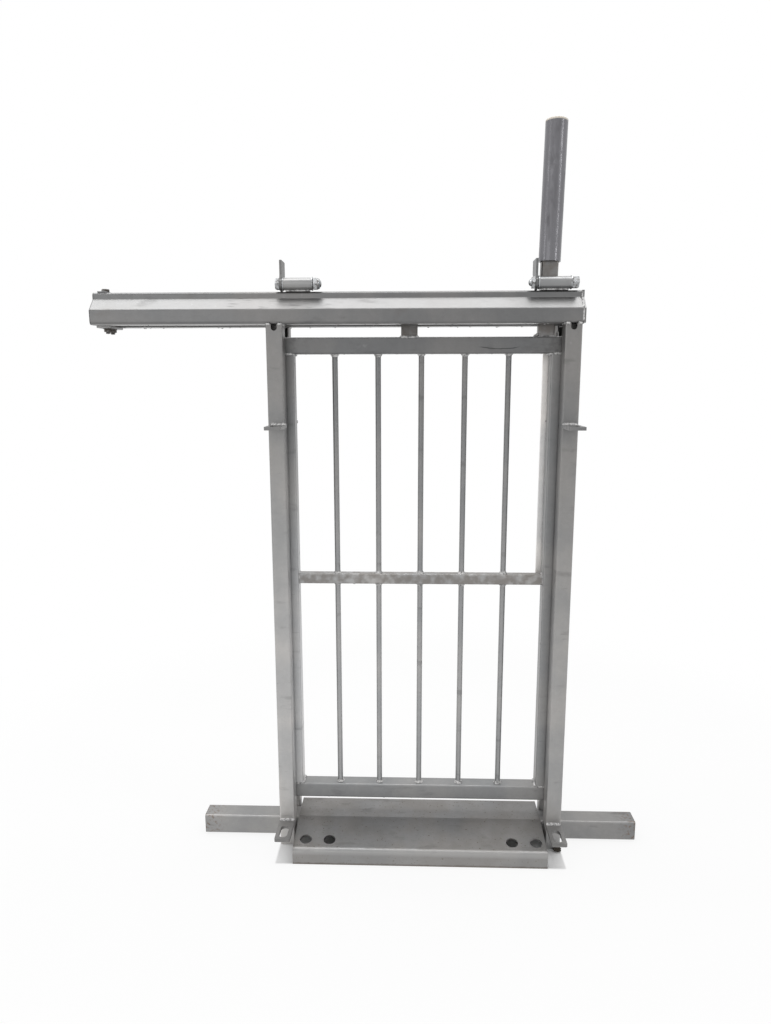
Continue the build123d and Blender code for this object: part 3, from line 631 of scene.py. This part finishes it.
bm = bmesh.new()
for name, half_x, half_y in (("hanger", 0.015, 0.015), ("handle_post", 0.015, 0.01)):
    foot = low(name)
    bead_box(bm, foot.x, foot.x + 2 * half_x, MID_Y - half_y, MID_Y + half_y, foot.z, 0.005)
foot = low("handle_post")
bead(bm, (foot.x - 0.008, MID_Y - 0.009, foot.z), (foot.x, MID_Y - 0.009, foot.z + 0.005), 0.005)
keep(bm, "hanger_welds", weld.material, "leaf")

# %% [markdown]
# Real bolts have chamfered corners, threads and washers. A hexagon is pulled up into a nut, its end
# edges are bevelled, and round parts are spun from a profile. The plain CAD bolts could be left as they
# are, but they have no thread to catch the light. They stay hidden underneath, for collision.

# %% Nuts, threads and washers
def hexagon(bm, centre, axis, across, height, chamfer=0.0011):
    turn = turn_to(Vector(axis)) @ Matrix.Rotation(math.pi / 6, 4, "Z")
    place = Matrix.Translation(Vector(centre)) @ turn
    ring = bmesh.ops.create_circle(
        bm, cap_ends=True, segments=6, radius=across / math.sqrt(3), matrix=place)["verts"]
    base = list({face for vert in ring for face in vert.link_faces})
    grown = bmesh.ops.extrude_face_region(bm, geom=base, use_keep_orig=True)["geom"]
    top = [item for item in grown if isinstance(item, bmesh.types.BMVert)]
    bmesh.ops.translate(bm, verts=top, vec=Vector(axis).normalized() * height)
    ends = set(ring) | set(top)
    upright = {e for v in ends for e in v.link_edges if len(set(e.verts) & set(ring)) == 1}
    flat = [e for v in ends for e in v.link_edges if e not in upright]
    bmesh.ops.bevel(bm, geom=list(set(flat)), offset=chamfer, offset_type="OFFSET", affect="EDGES",
                    segments=2, profile=0.5, material=-1)


def threaded(radius, length, pitch, dome=0.0):
    profile = [(0, 0), (radius, 0)]
    turns = int(length / pitch)
    for step in range(turns):
        profile.append((radius * 0.9, (step + 0.5) * pitch))
        profile.append((radius, (step + 1) * pitch))
    profile.append((radius * 0.85, length + 0.0004))
    if dome:
        profile.append((radius * 0.5, length + dome * 0.8))
    profile.append((0, length + 0.0004 + dome))
    return profile


def rod(radius, length):
    return [(0, 0), (radius, 0), (radius, length), (0, length)]


def washer(bm, start, axis, outer, inner, thick):
    edge = 0.0004
    profile = [(inner, 0), (outer - edge, 0), (outer, edge), (outer, thick - edge),
               (outer - edge, thick), (inner, thick), (inner, 0)]
    turned(bm, start, axis, profile)


print("hexagon, thread, rod and washer ready")

# %% [markdown]
# Each latch plate turns on a bolt through a tube, and both bolts have their head at the outer end. The
# left plate stands by the head, and a collared lock nut closes the other end. The right plate stands
# by a plain nut. Two copied cells would do, but one function can share the washers and the shank.

# %% Latch bolts and the lock ring
PIVOT_Y = 0.0215
LATCH_TUBE_R = 0.01065
PIVOT_Z = high("latch_tube_left").z - LATCH_TUBE_R
M12_R, M12_FLATS, M12_PITCH = 0.006, 0.019, 0.00125
M8_R, M8_FLATS, M8_PITCH = 0.004, 0.013, 0.001
WASHER_R, WASHER_T = 0.0118, 0.0022
WASHERED = WASHER_T + 0.0004


def latch_bolt(side, head_from, head, nut, tail, dome):
    tube_lo, tube_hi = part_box("latch_tube_" + side)
    bm = bmesh.new()

    def place(x):
        return (x, PIVOT_Y, PIVOT_Z)

    left, right = low("latch_bolt_" + side).x, high("latch_bolt_" + side).x
    if head_from == "left":
        hexagon(bm, place(left), (1, 0, 0), M12_FLATS, head, 0.0014)
        washer(bm, place(left + head), (1, 0, 0), 0.0115, M12_R, 0.0006)
        near = tube_hi.x + WASHERED
        collar = [(0, 0), (M12_FLATS * 0.5, 0), (M12_FLATS * 0.48, nut * 0.22),
                  (M12_FLATS * 0.4, nut * 0.34), (0, nut * 0.34)]
        hexagon(bm, place(near), (1, 0, 0), M12_FLATS, nut * 0.68, 0.0012)
        turned(bm, place(near + nut * 0.66), (1, 0, 0), collar)
        turned(bm, place(near + nut * 0.9), (1, 0, 0), threaded(M12_R, tail, M12_PITCH, dome))
    else:
        hexagon(bm, place(right - head), (1, 0, 0), M12_FLATS, head, 0.0014)
        near = low("latch_plate_" + side).x - 0.0005
        hexagon(bm, place(near), (-1, 0, 0), M12_FLATS, nut, 0.0012)
        turned(bm, place(near - nut * 0.9), (-1, 0, 0), threaded(M12_R, tail, M12_PITCH, dome))
    washer(bm, place(tube_lo.x), (-1, 0, 0), WASHER_R, M12_R, WASHER_T)
    washer(bm, place(tube_hi.x), (1, 0, 0), WASHER_R, M12_R, WASHER_T)
    turned(bm, place(left + 0.004), (1, 0, 0), rod(M12_R, right - left - 0.012))
    made = keep(bm, "latch_bolt_" + side + "_detail", bolt.material, "frame")
    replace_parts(made, "latch_bolt_" + side)


latch_bolt("left", "left", 0.0075, 0.0118, 0.003, 0.0012)
latch_bolt("right", "right", 0.0118, 0.006, 0.0035, 0.0025)

bm = bmesh.new()
ring_x = high("latch_tube_left").x + WASHERED + 0.0098
washer(bm, (ring_x, PIVOT_Y, PIVOT_Z), (1, 0, 0), 0.0076, M12_R + 0.0002, 0.0022)
keep(bm, "lock_ring", ring_plastic.material, "frame")

# %% [markdown]
# At its open end the track is closed by two bolts through flats, which the hanger's wheels can't pass.
# They are older and darker than the latch bolts, so they get a finish of their own.

# %% Bolts of the track stop
bm = bmesh.new()
stop_x = middle("track_stop_bolts").x
long_y, short_y = MID_Y - 0.01, MID_Y + 0.012
under = low("track_stop_flats").z
for y in (long_y, short_y):
    hexagon(bm, (stop_x, y, under), (0, 0, -1), M8_FLATS, 0.0062, 0.001)
    washer(bm, (stop_x, y, under), (0, 0, -1), 0.0085, M8_R, 0.001)
    tail = threaded(M8_R, 0.003, M8_PITCH, 0.0006)
    turned(bm, (stop_x, y, under - 0.0058), (0, 0, -1), tail, 20)
hexagon(bm, (stop_x, long_y, high("track_stop_flats").z), (0, 0, 1), M8_FLATS, 0.0055, 0.0012)
hexagon(bm, (stop_x, short_y, POST_TOP), (0, 0, 1), M8_FLATS, 0.0062, 0.001)
turned(bm, (stop_x, long_y, under), (0, 0, 1), rod(M8_R, TRACK_TOP - under + 0.002), 20)
turned(bm, (stop_x, short_y, under), (0, 0, 1), threaded(M8_R, 0.025, M8_PITCH, 0.0006), 20)
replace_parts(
    keep(bm, "track_stop_bolts_detail", stop_bolt.material, "frame"),
    "track_stop_bolts")

# %% [markdown]
# When the gate is lifted from the zinc bath, the last metal freezes in small drips under the rails.
# Each is a low dome set half into the steel. They could be bumps in the material, but those never
# stand out from an edge.

# %% Zinc drips
def drip(bm, at, size, tall):
    squash = Matrix.Translation(Vector(at)) @ Matrix.Diagonal((size, size, tall, 1))
    bmesh.ops.create_icosphere(bm, subdivisions=2, radius=1.0, matrix=squash)


bm = bmesh.new()
for name in ("rail_front", "rail_rear"):
    lo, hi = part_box(name)
    for step in range(34):
        x = chance.uniform(lo.x + 0.01, hi.x - 0.01)
        y = chance.uniform(lo.y + 0.006, hi.y - 0.002)
        drip(bm, (x, y, lo.z), chance.uniform(0.0012, 0.003), chance.uniform(0.0005, 0.0014))
keep(bm, "track_drips", weld.material, "frame")

bm = bmesh.new()
for name in ("leaf_top_rail", "leaf_bottom_rail", "leaf_mid_rail"):
    lo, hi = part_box(name)
    for step in range(26):
        x = chance.uniform(lo.x + 0.035, hi.x - 0.035)
        y = chance.uniform(lo.y + 0.002, lo.y + 0.012)
        drip(bm, (x, y, lo.z + 0.0002), chance.uniform(0.001, 0.0024), chance.uniform(0.0006, 0.0015))
keep(bm, "leaf_drips", weld.material, "leaf")

# %% [markdown]
# A clod of dry dirt is left under the right front post, where the real gate was set down. It is a
# rounded lump pushed about by noise. A plain ball would be less work, but it looks like a pebble.

# %% Clod of dirt
bm = bmesh.new()
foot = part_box("front_post_right")
centre = Vector((foot[0].x + 0.024, foot[0].y - 0.006, 0.0042))
bmesh.ops.create_icosphere(bm, subdivisions=3, radius=1.0)
for vert in bm.verts:
    vert.co *= 1 + 0.45 * noise.noise(vert.co * 1.7) + 0.2 * noise.noise(vert.co * 5)
bmesh.ops.scale(bm, verts=bm.verts, vec=(0.0085, 0.006, 0.0034))
bmesh.ops.translate(bm, verts=bm.verts, vec=centre)
keep(bm, "dirt_clod", clod.material, "frame", 60)

# %% [markdown]
# The light is a plain studio: a broad soft lamp overhead, a weaker one from the front, and a white
# surround. The sloped shoulder of the track then catches the overhead lamp, as it does on the real one,
# while the upright faces stay mid grey. Two narrow upright lamps draw the bright strips on the grip.
# A single lamp would be simpler, but steel mirrors what is around it, so its looks need several.

# %% Lamps
def area(name, at, aim, size, power):
    data = bpy.data.lights.new(name, "AREA")
    data.shape = "RECTANGLE"
    data.size, data.size_y = size
    data.energy = power
    lamp = bpy.data.objects.new(name, data)
    lamp.location = at
    lamp.rotation_euler = (Vector(aim) - Vector(at)).to_track_quat("-Z", "Y").to_euler()
    scene.collection.objects.link(lamp)
    return lamp


area("overhead", (-0.36, 0.2, 3.1), (-0.36, 0.2, 0.6), (3.7, 1.5), 62)
area("front_fill", (-1.6, -3.2, 1.6), (0, 0, 0.6), (2.2, 2.2), 10)
area("strip_right", (1.534, -0.873, 1.6), (GRIP_X, MID_Y, 1.6), (0.12, 1.3), 4.0)
area("strip_left", (-1.3, -0.42, 1.6), (GRIP_X, MID_Y, 1.6), (0.12, 1.3), 1.8)

# %% [markdown]
# The white behind the gate is what camera and mirror rays see. It shows in the steel only as in a dull
# mirror, and the steel is lit by a weaker surround. A full white world would be simpler, but it would
# light the gate from all sides and take its shadows away. The floor belongs to the stage, not to the
# gate.

# %% World and floor
world = bpy.data.worlds.new("studio")
world.use_nodes = True
scene.world = world
sky = Bench(world.node_tree)
background = sky.tree.nodes["Background"]
background.inputs["Color"].default_value = (1, 1, 1, 1)
shares = {0: sky.backdrop_rays(), 2: 0.62, 3: 1.0}
strength = sky.node("ShaderNodeMix", {"data_type": "FLOAT"}, shares)
sky.tree.links.new(strength.socket, background.inputs["Strength"])

bm = bmesh.new()
bmesh.ops.create_grid(bm, x_segments=1, y_segments=1, size=6)
floor_mesh = bpy.data.meshes.new("floor")
bm.to_mesh(floor_mesh)
bm.free()
floor = bpy.data.objects.new("floor", floor_mesh)
scene.collection.objects.link(floor)
floor.location.z = -0.0005
print("world", world.name, "floor", round(floor.dimensions.x, 1), "m wide")

# %% [markdown]
# The floor glows white to the camera, so that it melts into the backdrop, but not fully near the gate,
# where the shadow should stay. Under the sill it doesn't glow at all, or light would show through the
# peg holes.

# %% Floor that fades to white
ground = Finish("floor_white", 0.0, 0.9)
ground.shader.inputs["Base Color"].default_value = (0.8, 0.8, 0.8, 1)
side = high("front_lug_lower_right").x
front, rear = low("sill_plate").y, high("sill_plate").y
x, y = abs(ground.along("X")), ground.along("Y")
between_lugs = ground.step(x, side + 0.002, side - 0.002)
behind_front = ground.step(y, front - 0.001, front + 0.003)
under_gate = between_lugs * behind_front * ground.step(y, rear, rear - 0.004)
glow = 0.86 + 0.14 * ground.step(ground.near((0, 0.1, 0), 0.7, 1.5), 1.0, 0.0)
lit = ground.node("ShaderNodeEmission", {}, {"Color": (1, 1, 1, 1), "Strength": 1.0}, out="Emission")
lit_share = ground.backdrop_rays() * glow * (1 - under_gate)
shaded = Wire(ground, ground.shader.outputs[0])
surface = ground.node("ShaderNodeMixShader", {}, {0: lit_share, 1: shaded, 2: lit}, out="Shader")
ground.tree.links.new(surface.socket, ground.tree.nodes["Material Output"].inputs["Surface"])
floor_mesh.materials.append(ground.material)
print("floor fades out by 1.5 m")

# %% [markdown]
# The camera stands where the photographer stood, a little left of the middle, and looks slightly down.
# Its place and lens were fitted to the gate's straight edges, which is surer than trying by eye.

# %% Camera
camera_data = bpy.data.cameras.new("camera")
camera_data.sensor_fit = "HORIZONTAL"
camera_data.sensor_width = 36
camera_data.lens = 34.262
camera = bpy.data.objects.new("camera", camera_data)
camera.location = (-0.02283, -1.33373, 0.91985)
camera.rotation_euler = (math.radians(79.89), math.radians(0.1), math.radians(1.87))
scene.collection.objects.link(camera)
scene.camera = camera

scene.view_settings.view_transform = "Standard"
print("camera at", tuple(round(v, 3) for v in camera.location))
